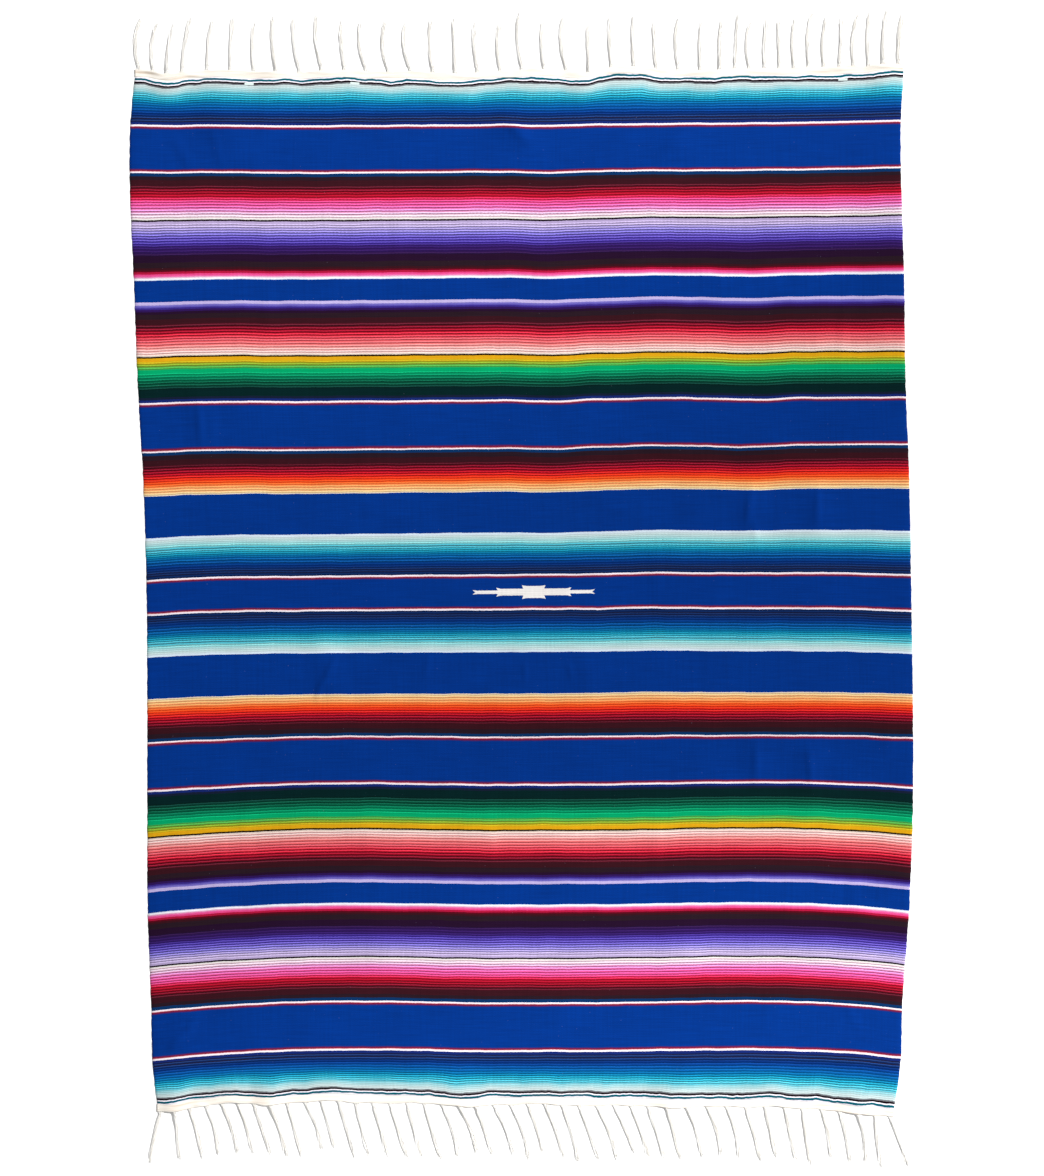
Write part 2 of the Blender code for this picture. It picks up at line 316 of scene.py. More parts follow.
# Yarns of the weft, in the screen's red, green and blue
YARNS = {
    "royal": (0, 50, 134),
    "ink": (18, 28, 50),
    "night": (10, 28, 70),
    "navy": (6, 38, 94),
    "deep": (0, 40, 112),
    "marine": (0, 60, 132),
    "lake": (0, 72, 140),
    "lagoon": (0, 84, 146),
    "pool": (0, 96, 145),
    "shoal": (4, 116, 152),
    "surf": (22, 138, 164),
    "breaker": (42, 150, 172),
    "ocean": (0, 60, 131),
    "cerulean": (0, 84, 144),
    "turquoise": (78, 172, 192),
    "sky": (84, 204, 226),
    "aqua": (116, 198, 202),
    "mint": (150, 206, 208),
    "haze": (166, 206, 209),
    "pale mint": (184, 212, 212),
    "frost": (198, 216, 217),
    # The next four are darker copies of the pale yarns of the blue shading, with painted shade that offsets
    # the end lamps' extra light
    "aqua with painted shade": (118, 186, 197),
    "mint with painted shade": (148, 196, 202),
    "mist with painted shade": (168, 200, 203),
    "shell with painted shade": (188, 205, 206),
    "sea": (0, 88, 106),
    "bark": (30, 20, 34),
    "ice": (214, 228, 244),
    "white": (248, 242, 250),
    "steel": (6, 48, 96),
    "indigo": (20, 38, 108),
    "plum": (64, 34, 96),
    "brick": (128, 28, 58),
    "flesh": (242, 184, 188),
    "straw": (224, 204, 158),
    "apricot": (252, 182, 120),
    "peach": (252, 158, 98),
    "orange": (255, 130, 68),
    "tangerine": (255, 80, 24),
    "scarlet": (234, 34, 20),
    "red": (184, 12, 22),
    "cherry": (172, 14, 40),
    "carmine": (214, 40, 58),
    "crimson": (146, 6, 28),
    "garnet": (122, 4, 24),
    "wine": (88, 6, 24),
    "maroon": (54, 17, 26),
    "black": (38, 22, 32),
    "jet": (22, 9, 17),
    "pine": (2, 33, 34),
    "bottle": (0, 58, 42),
    "fir": (0, 88, 60),
    "emerald": (0, 118, 80),
    "jade": (0, 162, 102),
    "leaf": (50, 168, 84),
    "olive": (106, 158, 54),
    "mustard": (152, 160, 28),
    "gold": (220, 162, 20),
    "umber": (30, 17, 5),
    "cream": (238, 222, 204),
    "blush": (238, 188, 184),
    "pearl": (226, 221, 219),
    "faded pink": (230, 198, 207),
    "rose": (242, 150, 146),
    "salmon": (240, 106, 108),
    "coral": (226, 84, 92),
    "violet black": (35, 12, 40),
    "aubergine": (44, 19, 83),
    "violet": (54, 38, 128),
    "grape": (46, 24, 100),
    "deep violet": (40, 22, 112),
    "deep iris": (70, 56, 143),
    "hyacinth": (76, 62, 150),
    "bluebell": (90, 78, 162),
    "iris": (86, 76, 168),
    "lilac": (111, 102, 186),
    "wisteria": (134, 120, 189),
    "heather": (150, 137, 194),
    "pale lilac": (188, 174, 220),
    "petal": (174, 157, 197),
    "pale pink": (224, 182, 204),
    "orchid": (224, 134, 184),
    "pink": (228, 102, 164),
    "hot pink": (226, 70, 134),
    "raspberry": (174, 20, 58),
    "rose red": (216, 36, 84),
}

# The weft from the centre line to either end: the flat distance in millimetres where a band starts, and its
# yarn. A band of no lines is plain. Others pass into the next band's yarn over so many lines of weft, and
# contrast is how much their single picks stand out.
Band = namedtuple("Band", "start yarn lines contrast", defaults=(0, 0))
BANDS = table_of(
    Band,
    (0, "royal"),
    (27.6, "plum"),
    (29, "brick"),
    (31.8, "flesh"),
    (33.2, "white"),
    (35.8, "navy", 1, 0.4),
    (41.5, "night", 2, 0.7),
    (51, "navy", 1, 0.5),
    (56, "deep", 1, 0.4),
    (61, "ocean", 2, 0.7),
    (73, "cerulean", 1, 0.6),
    (77, "pool", 1, 0.6),
    (80.5, "shoal", 1, 0.8),
    (84.3, "surf", 1, 0.95),
    (88.1, "breaker", 1, 1),
    (92, "turquoise", 1, 0.95),
    (97.4, "aqua", 1, 0.6),
    (102, "mint", 1, 0.25),
    (105.5, "haze", 1, 0.25),
    (109, "pale mint", 1, 0.2),
    (112.8, "frost", 1, 0.15),
    (116.6, "ice"),
    (118.8, "royal"),
    (200.2, "cream"),
    (201.4, "straw", 1, 0.4),
    (206.5, "apricot", 1, 0.5),
    (212, "peach", 1, 0.6),
    (217.5, "orange", 1, 0.5),
    (222.5, "tangerine", 2, 0.65),
    (232.5, "scarlet", 1, 1),
    (238, "red", 1, 0.9),
    (243, "crimson", 1, 1),
    (248.5, "garnet", 1, 1.1),
    (254, "wine", 1, 0.8),
    (259.5, "maroon"),
    (270, "black"),
    (279.6, "steel"),
    (285.2, "white"),
    (287.6, "flesh"),
    (288.8, "brick"),
    (291.8, "plum"),
    (293.8, "royal"),
    (374.2, "plum"),
    (376.2, "brick"),
    (379.2, "flesh"),
    (380.4, "white"),
    (383.2, "indigo"),
    (388.5, "ink"),
    (393, "pine"),
    (407, "pine", 1, 0.8),
    (413, "bottle", 2, 0.9),
    (424, "fir", 1, 0.7),
    (430, "emerald", 2, 0.6),
    (441, "jade"),
    (447.5, "leaf", 1, 0.5),
    (453, "olive", 1, 0.6),
    (458.5, "mustard", 1, 0.5),
    (463.5, "gold"),
    (470.7, "umber"),
    (474, "cream", 1, 0.4),
    (478, "blush", 2, 0.65),
    (488.5, "rose", 1, 0.65),
    (494.5, "salmon", 1, 0.7),
    (501, "coral", 2, 1),
    (511.5, "carmine", 1, 1.1),
    (518, "crimson", 1, 1),
    (523.5, "garnet", 1, 1.1),
    (529.5, "wine", 1, 0.9),
    (536.5, "maroon"),
    (547, "black"),
    (556.5, "violet black"),
    (561.5, "aubergine"),
    (565.5, "violet"),
    (568.8, "iris"),
    (571, "lilac"),
    (574.5, "pale lilac"),
    (580.3, "royal"),
    (622, "ice"),
    (623.2, "white"),
    (625.4, "pale pink"),
    (627.8, "pink"),
    (630.6, "hot pink"),
    (633.6, "raspberry"),
    (637.8, "wine"),
    (641, "maroon"),
    (645.5, "black"),
    (656, "violet black"),
    (667, "violet black", 1, 0.5),
    (673, "aubergine", 1, 0.4),
    (679, "aubergine", 1, 0.4),
    (684.5, "grape", 1, 0.8),
    (689, "violet", 1, 1.1),
    (694, "deep iris", 1, 1.1),
    (699, "hyacinth", 1, 1.1),
    (704, "bluebell", 1, 1.1),
    (709, "lilac", 1, 1),
    (714, "wisteria", 1, 1),
    (718.5, "heather", 1, 0.9),
    (723.3, "petal", 1, 0.7),
    (728, "petal"),
    (731.7, "jet"),
    (735, "pearl"),
    (737.8, "faded pink", 1, 0.6),
    (743.5, "pale pink", 1, 0.9),
    (749, "orchid", 1, 0.9),
    (755, "pink", 1, 0.9),
    (761, "hot pink", 1, 0.9),
    (766.5, "hot pink", 1, 1.1),
    (771.5, "rose red", 1, 1.1),
    (776.5, "cherry", 1, 0.6),
    (782.5, "crimson", 1, 0.9),
    (787.5, "garnet", 1, 1.1),
    (793, "wine", 1, 0.9),
    (798.5, "maroon"),
    (810, "black"),
    (816.6, "steel"),
    (823.4, "white"),
    (825.6, "flesh"),
    (826.6, "brick"),
    (829.6, "plum"),
    (831.8, "royal"),
    (911.6, "plum"),
    (913.4, "brick"),
    (916.2, "flesh"),
    (917.4, "white"),
    (920.2, "indigo"),
    (925.5, "night", 2, 1),
    (936.5, "navy", 1, 0.6),
    (941.5, "deep", 1, 0.6),
    (947, "marine", 1, 0.6),
    (952.5, "lake", 1, 0.6),
    (958, "lagoon", 1, 0.6),
    (963, "pool", 1, 0.8),
    (967.5, "shoal", 1, 1),
    (972, "surf", 1, 1),
    (976.5, "breaker", 1, 1),
    (980.5, "turquoise", 1, 0.9),
    # The next yarns carry painted shade that offsets the end lamps' extra light
    (984, "aqua with painted shade", 1, 0.3),
    (987.8, "mint with painted shade", 1, 0.25),
    (991.2, "mist with painted shade", 1, 0.25),
    (994.6, "shell with painted shade", 1, 0.2),
    (998, "shell with painted shade", 1, 0.15),
    (1000.9, "jet"),
    (1004.3, "white"),
    (1006.5, "sea"),
    (1010.8, "white"),
)
FIELD_YARN = "royal"

# Single picks at a contrast of 1: how much brighter and nearer to white the light ones are, how much darker
# the dark ones, and their yarns in the bands that have yarns of their own for them
LIGHTER = 0.42
PALER = 0.1
DARKER = 0.46
LIGHT_PICKS = {"turquoise": "sky"}
DARK_PICKS = {
    "night": "bark",
    "violet": "deep violet",
    "deep iris": "deep violet",
    "hyacinth": "deep violet",
}

# Where in a line of weft its dark pick, its light pick and the rest begin, as shares of the line
DARK_AT = 0.17
LIGHT_AT = 0.48
REST_AT = 0.8

# Where the far end's last dark pick sinks into the weave: places along X and the half width, in millimetres
SUNK_PICKS = (-533, -324, 641)
SUNK_HALF_WIDTH = 9
SUNK_COLOUR = (216, 230, 227)

# The woven figure at the centre, in millimetres: its middle along X; the half length, the half height and
# the rise of the corners of each of its steps; how far the corners reach out, and where their rise begins
FIGURE_MIDDLE = 9.5
FIGURE_STEPS = ((18, 11.9, 1.7), (69.2, 6.7, 2.1), (116.2, 3.4, 1.1))
FIGURE_FLARE = 5.4
FIGURE_CORNER = 9
FIGURE_COLOUR = (244, 240, 237)

# The weave: the height of one pick and the distance between two warps, of the panel and of the headings
PICK = 0.0021
WARP_SPACING = 0.0036
HEADING_PICK = 0.0017
HEADING_WARP_SPACING = 0.0026

# Lumps of noise on the cloth: how many lie on a metre across and on a metre along the warp, and their detail
Grain = namedtuple("Grain", "across along detail")
WANDER = Grain(17, 8.5, 3)
FRAYED = Grain(320, 96, 1)
PICK_SHADES = Grain(14, 420, 2)
WARP_SHADES = Grain(230, 9, 2)
CLOUDS = Grain(9, 9, 3)
SPECKS = Grain(301, 430, 0)
FUZZ = Grain(1500, 1500, 1)
# The next grain lays tan painted shade of wrinkles over the headings
WRINKLE_SHADE = Grain(9, 160, 3)
COTTON_FUZZ = Grain(1400, 1400, 1)

# How far the picks stray in metres: over the panel and at its ends, from where, and at single warps
STRAY = 0.004
STRAY_AT_ENDS = 0.018
STRAY_FROM = 0.96
BULGE = 0.0001
FRAY = 0.0008

# Colours of the cotton from light to dark, where the heading's dark tan is painted shade of its wrinkles, and
# of the warp's specks between the wefts
HEADING_COTTON = ((228, 222, 212), (184, 158, 130))
FRINGE_COTTON = ((246, 244, 240), (236, 232, 224))
SPECK_COLOUR = (170, 175, 205)

# Turns of the fringe's ply in a metre, and how many colour stops one ramp takes
PLY_TURNS = 520
RAMP_STOPS = 30

# How much darker than its screen colour a yarn's dye is, as the scene's light is that much above white
DYE = 0.74

# The photograph's frame, in pixels, and where the cloth's own middle stands in it
FRAME_WIDTH = 1044
FRAME_HEIGHT = 1176
METRES_PER_PIXEL = 0.001985
MIDDLE_PIXEL = (530, 592)
CAMERA_HEIGHT = 5.2
SENSOR = 36

# The light: the strength of the room and the key lamp, that lamp's width in degrees, and all lamps' turn
# from straight down
ROOM_STRENGTH = 0.5
KEY_STRENGTH = 4.0
KEY_WIDTH = 2.5
LIGHT_TILT = (np.radians(-20), np.radians(44), 0)

# The two lamps of the ends: how far off they are, the half width that they light, where along X and Y their
# light is centred, and their power
END_LIGHT_DISTANCE = 6
END_LIGHT_REACH = 1.05
END_LIGHT_X = 0.15
END_LIGHT_Y = 1.3
END_LIGHTS = (("far_lamp", 1, 1080), ("near_lamp", -1, 1110))

# The floor: its half side, how far it lies below the cloth, and how much light it gives back
FLOOR_REACH = 80
FLOOR_DROP = 0.0002
FLOOR_SHADE = 0.93


def bump(t):
    """A smooth hump: 1 where t is 0, and 0 from where t is 1."""
    return np.clip(1 - np.square(t), 0, 1) ** 2


def at_sections(flat):
    """lies, left, right, rise and bow at flat distances, on smooth curves through the table's rows."""
    table = np.array(SECTIONS) * MM
    places, columns = table[:, 0], table[:, 1:]
    slopes = np.gradient(columns, places, axis=0)
    row = np.clip(np.searchsorted(places, flat, side="right") - 1, 0, len(places) - 2)
    step = places[row + 1] - places[row]
    t = ((flat - places[row]) / step)[..., None]
    step = step[..., None]
    value = (
        (2 * t**3 - 3 * t**2 + 1) * columns[row]
        + (t**3 - 2 * t**2 + t) * step * slopes[row]
        + (3 * t**2 - 2 * t**3) * columns[row + 1]
        + (t**3 - t**2) * step * slopes[row + 1]
    )
    return np.moveaxis(value, -1, 0)


def ridge_height(ridge, x, y):
    """How high a ridge stands at points x and y."""
    turn = np.radians(ridge.turn)
    dx, dy = x - ridge.x * MM, y - ridge.y * MM
    along = dy * np.cos(turn) - dx * np.sin(turn)
    aside = dx * np.cos(turn) + dy * np.sin(turn)
    return ridge.height * MM * bump(aside / (ridge.half_width * MM)) * bump(along / (ridge.length / 2 * MM))


def lie_of_cloth(across, flat):
    """Where the cloth's underside lies: x, y and z for points across from -1 to 1, at flat distances."""
    lies, left, right, rise, bow = at_sections(flat)
    x = (left + right) / 2 + (right - left) / 2 * across
    y = lies + rise / 2 * across - bow * np.abs(across) ** BOW_POWER
    z = np.zeros_like(x)
    for wave in WAVES:
        middle, half = (wave.low + wave.high) / 2 * MM, (wave.high - wave.low) / 2 * MM
        along = bump(((flat - middle) / half) ** 3)
        y = y + wave.shift * MM * bump((x - wave.across * MM) / (wave.reach * MM)) * along
    for ripples, end in ((FAR_RIPPLES, 1), (NEAR_RIPPLES, -1)):
        near_end = bump(np.clip(PANEL_HALF_LENGTH - end * flat, 0, None) / END_RIPPLE_REACH)
        for ripple in ripples:
            part = bump((x - ripple.across * MM) / (ripple.reach * MM)) * near_end
            y = y + ripple.shift * MM * part
            z = z + ripple.height * MM * part
    for ridge in RIDGES:
        z = np.maximum(z, ridge_height(ridge, x, y))
    return x, y, z


def crease_height(x, y):
    """How high the finer creases stand at points x and y."""
    height = np.zeros_like(x)
    for crease in CREASES:
        height += ridge_height(crease, x, y)
    return height


def linear(colour):
    """The light that a screen colour stands for, with an alpha of 1."""
    shares = np.array(colour) / 255
    light = np.where(shares <= 0.04045, shares / 12.92, ((shares + 0.055) / 1.055) ** 2.4)
    return (*light.tolist(), 1.0)


def new_mesh_object(name, points, faces, material, shift):
    mesh = bpy.data.meshes.new(name)
    mesh.from_pydata((np.asarray(points) + (*shift, 0)).tolist(), [], faces)
    mesh.shade_smooth()
    mesh.materials.append(material)
    obj = bpy.data.objects.new(name, mesh)
    bpy.context.scene.collection.objects.link(obj)
    return obj


def add_attribute(obj, name, vectors):
    attribute = obj.data.attributes.new(name, "FLOAT_VECTOR", "POINT")
    attribute.data.foreach_set("vector", np.asarray(vectors, dtype=np.float32).ravel())


def add_map(obj, places):
    """A texture map for the piece, from a place for each of its vertices."""
    layer = obj.data.uv_layers.new(name="OFBake")
    corners = np.zeros(len(obj.data.loops), dtype=np.int32)
    obj.data.loops.foreach_get("vertex_index", corners)
    layer.data.foreach_set("uv", np.asarray(places, dtype=np.float32)[corners].ravel())


def grid_faces(rows, columns, first=0, turned=False):
    """Four-sided faces between the vertices of a grid that starts at vertex number first."""
    number = first + np.arange(rows * columns).reshape(rows, columns)
    faces = np.stack([number[:-1, :-1], number[:-1, 1:], number[1:, 1:], number[1:, :-1]], axis=-1)
    faces = faces.reshape(-1, 4)
    return (faces[:, ::-1] if turned else faces).tolist()


def rim_of(rows, columns):
    """Row and column of the vertices round a grid, anticlockwise."""
    rim = [(0, c) for c in range(columns)]
    rim += [(r, columns - 1) for r in range(1, rows)]
    rim += [(rows - 1, c) for c in range(columns - 2, -1, -1)]
    rim += [(r, 0) for r in range(rows - 2, 0, -1)]
    return rim


class Wall:
    """A closed wall of cloth between two grids of points, with a rounded rim.

    Both grids have the same rows and columns. The underside is drawn with every step-th point of its grid.
    """

    MAP_MARGIN = 0.004

    def __init__(self, under, over, rim_out, step=1):
        self.rows, self.columns = over.shape[:2]
        self.step = step
        under = under[::step, ::step]
        rows, columns = under.shape[:2]
        first_over = rows * columns
        first_rim = first_over + self.rows * self.columns
        self.rim = rim_of(self.rows, self.columns)
        low_rim = [r * columns + c for r, c in rim_of(rows, columns)]
        edge = np.array([over[r, c] for r, c in self.rim])
        below = under.reshape(-1, 3)[low_rim]
        round_again = np.append(below[:, 2], below[0, 2])
        sunk = np.interp(np.arange(len(edge)), np.arange(len(round_again)) * step, round_again)
        edge[:, 2] = (edge[:, 2] + sunk) / 2
        run = (np.roll(edge, -1, axis=0) - np.roll(edge, 1, axis=0))[:, :2]
        run /= np.linalg.norm(run, axis=1)[:, None]
        outward = np.column_stack([run[:, 1], -run[:, 0], np.zeros(len(run))])
        outward *= np.sign(np.sum(outward * (edge - over.mean(axis=(0, 1))), axis=1))[:, None]
        self.points = np.concatenate([under.reshape(-1, 3), over.reshape(-1, 3), edge + outward * rim_out])
        self.faces = grid_faces(rows, columns, 0, turned=True)
        self.faces += grid_faces(self.rows, self.columns, first_over)
        for i, (r, c) in enumerate(self.rim):
            j = (i + 1) % len(self.rim)
            next_r, next_c = self.rim[j]
            here, there = first_over + r * self.columns + c, first_over + next_r * self.columns + next_c
            self.faces.append((first_rim + i, first_rim + j, there, here))
        for i, low in enumerate(low_rim):
            next_low = low_rim[(i + 1) % len(low_rim)]
            mids = [first_rim + (i * step + k) % len(self.rim) for k in range(step + 1)]
            half = step // 2
            self.faces += [(low, mids[k + 1], mids[k]) for k in range(half)]
            self.faces.append((low, next_low, mids[half + 1], mids[half]))
            self.faces += [(next_low, mids[k + 1], mids[k]) for k in range(half + 1, step)]

    def spread(self, values):
        """Values of a grid, given to the wall's underside, upper side and rim."""
        size = values.shape[-1]
        under = values[:: self.step, :: self.step]
        rim = np.array([values[r, c] for r, c in self.rim])
        return np.concatenate([under.reshape(-1, size), values.reshape(-1, size), rim])

    def map_places(self):
        """Places on a texture map: the underside on the left half, the rest on the right half."""
        columns, rows = np.meshgrid(np.linspace(0, 1, self.columns), np.linspace(0, 1, self.rows))
        m = self.MAP_MARGIN
        side = np.stack([columns * (0.5 - 4 * m), rows * (1 - 4 * m)], axis=-1)
        under, over = side[:: self.step, :: self.step] + (2 * m, 2 * m), side + (0.5 + 2 * m, 2 * m)
        rim = np.array([over[r, c] for r, c in self.rim])
        grid = np.array(self.rim)
        rim[:, 1] += np.where(grid[:, 0] == 0, -m, 0) + np.where(grid[:, 0] == self.rows - 1, m, 0)
        rim[:, 0] += np.where(grid[:, 1] == 0, -m, 0) + np.where(grid[:, 1] == self.columns - 1, m, 0)
        return np.concatenate([under.reshape(-1, 2), over.reshape(-1, 2), rim])


def make_panel(material, shift):
    """The striped panel between the two headings, with slightly uneven selvedges."""
    across, flat = np.meshgrid(
        np.linspace(-1, 1, PANEL_COLUMNS + 1),
        np.linspace(-PANEL_HALF_LENGTH, PANEL_HALF_LENGTH, PANEL_ROWS + 1),
    )
    x, y, z = lie_of_cloth(across, flat)
    chance = np.random.default_rng(7)
    for side in (-1, 1):
        turns = chance.uniform(-1, 1, PANEL_ROWS + 1) * SELVEDGE_WANDER
        x += turns[:, None] * np.clip(side * across - SELVEDGE_FROM, 0, None) / (1 - SELVEDGE_FROM)
    under = np.stack([x, y, z], axis=-1)
    thinner = 1 - THIN_BY * np.clip(np.abs(across) - THIN_FROM, 0, None) / (1 - THIN_FROM)
    over = np.stack([x, y, z + CLOTH_THICKNESS * thinner + crease_height(x, y)], axis=-1)
    wall = Wall(under, over, PANEL_RIM, PANEL_UNDERSIDE_STEP)
    panel = new_mesh_object("striped_panel", wall.points, wall.faces, material, shift)
    weave_place = np.stack([across * PANEL_HALF_WIDTH, flat, 0 * flat], axis=-1)
    add_attribute(panel, "weave_place", wall.spread(weave_place))
    add_map(panel, wall.map_places())
    return panel


def heading_edge(end, x):
    """y of the heading's outer edge at places x, and the height of the cloth there."""
    edge_x, edge_y, edge_z = lie_of_cloth(np.linspace(-1, 1, 400), np.full(400, end * PANEL_HALF_LENGTH))
    wander = sum(wave.depth * np.sin(x / (wave.length * MM) + wave.phase * end) for wave in EDGE_WAVES)
    y = np.interp(x, edge_x, edge_y) + end * (HEADING_DEPTH + wander * MM)
    return y, np.interp(x, edge_x, edge_z)


def puckers(x, share):
    """Small puckers of a heading, which grow from its inner edge to its outer edge."""
    coarse = 0.25 * np.sin(x / 0.0052) * np.sin(x / 0.041 + 1)
    fine = 0.2 * np.sin(x / 0.0093 + 7 * share)
    return (coarse + fine + 0.45) * MM * share


def make_heading(name, end, tucks, material, shift):
    """The crumpled cotton strip beyond the striped panel's last pick."""
    across, share = np.meshgrid(
        np.linspace(-1, 1, HEADING_COLUMNS + 1),
        np.linspace(0, 1, HEADING_ROWS + 1),
    )
    x, y, z = lie_of_cloth(across, np.full_like(across, end * PANEL_HALF_LENGTH))
    outer_y, _ = heading_edge(end, x)
    y = y + end * HEADING_GAP + (outer_y - y) * share
    crumple = np.zeros_like(z)
    for tuck in tucks:
        crumple += ridge_height(tuck, x, y)
    z = z + crumple * bump(1 - np.clip(share * 3, 0, 1)) + puckers(x, share)
    under = np.stack([x, y, z + ABOVE_FLOOR * share], axis=-1)
    over = under + (0, 0, HEADING_THICKNESS)
    wall = Wall(under, over, HEADING_RIM)
    if end < 0:
        wall.faces = [face[::-1] for face in wall.faces]
    heading = new_mesh_object(name, wall.points, wall.faces, material, shift)
    weave_place = np.stack([x, share * HEADING_DEPTH, crumple], axis=-1)
    add_attribute(heading, "weave_place", wall.spread(weave_place))
    add_map(heading, wall.map_places())
    return heading


def lock_places(stretches):
    """(root, lean, bend) of each lock of a fringe, in metres, from left to right."""
    places = []
    for stretch in stretches:
        for share in np.linspace(0, 1, stretch.locks):
            root = stretch.first + (stretch.last - stretch.first) * share
            lean = stretch.lean_first + (stretch.lean_last - stretch.lean_first) * share
            places.append((root * MM, lean * MM, stretch.bend * MM))
    return places


def lock_route(end, number, root, lean, bend, start_y, start_z):
    """Middle points of a lock at its sections, with small differences from lock to lock."""
    chance = random.Random(f"lock {end} {number}")
    length = FRINGE_LENGTH + FRINGE_UNEVENNESS * chance.uniform(-1, 1)
    lean = lean + LOCK_SIDEWAYS * chance.uniform(-1, 1)
    bend = bend + LOCK_SIDEWAYS * chance.uniform(-1, 1)
    route = []
    for section in LOCK_SECTIONS:
        s = section.share
        x = root + lean * s + bend * 4 * s * (1 - s)
        y = start_y + end * length * s
        lying = ABOVE_FLOOR + section.height / 2 * MM
        settled = min(s / LOCK_SETTLES, 1)
        z = start_z + (lying - start_z) * settled**2 * (3 - 2 * settled)
        route.append((x, y, max(z, lying)))
    return np.array(route)


def lock_threads(end, number, lock):
    """The middle lines of a lock's threads: gathered at the heading, twisted, loose at the tips."""
    root, lean, bend = lock
    outer_y, edge_z = heading_edge(end, np.array([root]))
    route = lock_route(end, number, root, lean, bend, outer_y[0], edge_z[0] + CLOTH_THICKNESS / 2)
    chance = random.Random(f"threads {end} {number}")
    twist = chance.choice((-1, 1)) * chance.uniform(*LOCK_TWIST)
    shares = np.array([section.share for section in LOCK_SECTIONS])
    widths = np.array([section.width for section in LOCK_SECTIONS]) / 2 * MM - THREAD_RADIUS
    heights = np.array([section.height for section in LOCK_SECTIONS]) / 2 * MM - THREAD_RADIUS
    lines = []
    for j in range(THREADS):
        s = np.linspace(0, 1, THREAD_RINGS) ** 1.15 * (1 - chance.uniform(0, THREAD_LACKS))
        out = np.sqrt((j + 0.5) / THREADS)
        angle = j * GOLDEN_ANGLE + twist * s + chance.uniform(-0.5, 0.5) * s
        loose = np.clip((s - LOOSE_FROM) / (1 - LOOSE_FROM), 0, 1) ** 2 * chance.uniform(-LOOSE_BY, LOOSE_BY)
        sway = np.sin(s * chance.uniform(*SWAY_TURNS) + chance.uniform(0, 6)) * SWAY * np.clip(s * 4, 0, 1)
        gathered = np.clip(s / GATHERED_AT, 0, 1) ** 0.7
        fan = (2 * (j + 0.5) / THREADS - 1) * 0.5 * LOCK_SECTIONS[0].width * MM
        aside = np.interp(s, shares, widths) * out * np.cos(angle)
        above = np.interp(s, shares, heights) * out * np.sin(angle)
        x = np.interp(s, shares, route[:, 0]) + fan * (1 - gathered) + aside * gathered + loose + sway
        y = np.interp(s, shares, route[:, 1]) - end * THREAD_STARTS_INSIDE * np.clip(1 - s * 12, 0, 1)
        z = np.interp(s, shares, route[:, 2]) + above * gathered
        lines.append(np.column_stack([x, y, np.maximum(z, THREAD_RADIUS + ABOVE_FLOOR / 2)]))
    return lines


def make_fringe(name, end, stretches, material, shift):
    """The fringe of one end: every lock's threads, each a closed thread with a tapered tip."""
    points, faces, places, plies = [], [], [], []
    threads = [
        (number, j, line)
        for number, lock in enumerate(lock_places(stretches))
        for j, line in enumerate(lock_threads(end, number, lock))
    ]
    cells = int(np.ceil(np.sqrt(len(threads))))
    turn = np.arange(THREAD_SIDES) / THREAD_SIDES * 2 * np.pi
    for index, (number, j, line) in enumerate(threads):
        run = np.gradient(line, axis=0)
        run /= np.linalg.norm(run, axis=1)[:, None]
        aside = np.cross(run, (0, 0, 1))
        aside /= np.linalg.norm(aside, axis=1)[:, None]
        up = np.cross(aside, run)
        radius = np.full(THREAD_RINGS, THREAD_RADIUS)
        radius[-1] *= THREAD_TIP
        first = len(points)
        length = 0
        shade = random.Random(f"thread {end} {number} {j}").random()
        cell = np.array([index % cells, index // cells]) / cells
        for r in range(THREAD_RINGS):
            length += np.linalg.norm(line[r] - line[r - 1]) if r else 0
            for side in range(THREAD_SIDES):
                out = aside[r] * np.cos(turn[side]) + up[r] * np.sin(turn[side])
                points.append(line[r] + radius[r] * out)
                plies.append((side / THREAD_SIDES, length, shade))
                around = side if side <= THREAD_SIDES / 2 else THREAD_SIDES - side + 0.3
                in_cell = np.array([0.1 + 0.3 * around, 0.05 + 0.9 * r / (THREAD_RINGS - 1)])
                places.append(cell + in_cell / cells)
        for r in range(THREAD_RINGS - 1):
            for side in range(THREAD_SIDES):
                a, b = first + r * THREAD_SIDES + side, first + r * THREAD_SIDES + (side + 1) % THREAD_SIDES
                faces.append((a, a + THREAD_SIDES, b + THREAD_SIDES, b))
        faces.append(tuple(first + side for side in range(THREAD_SIDES)))
        last = first + (THREAD_RINGS - 1) * THREAD_SIDES
        faces.append(tuple(last + side for side in reversed(range(THREAD_SIDES))))
    fringe = new_mesh_object(name, points, faces, material, shift)
    add_attribute(fringe, "ply", plies)
    add_map(fringe, places)
    return fringe


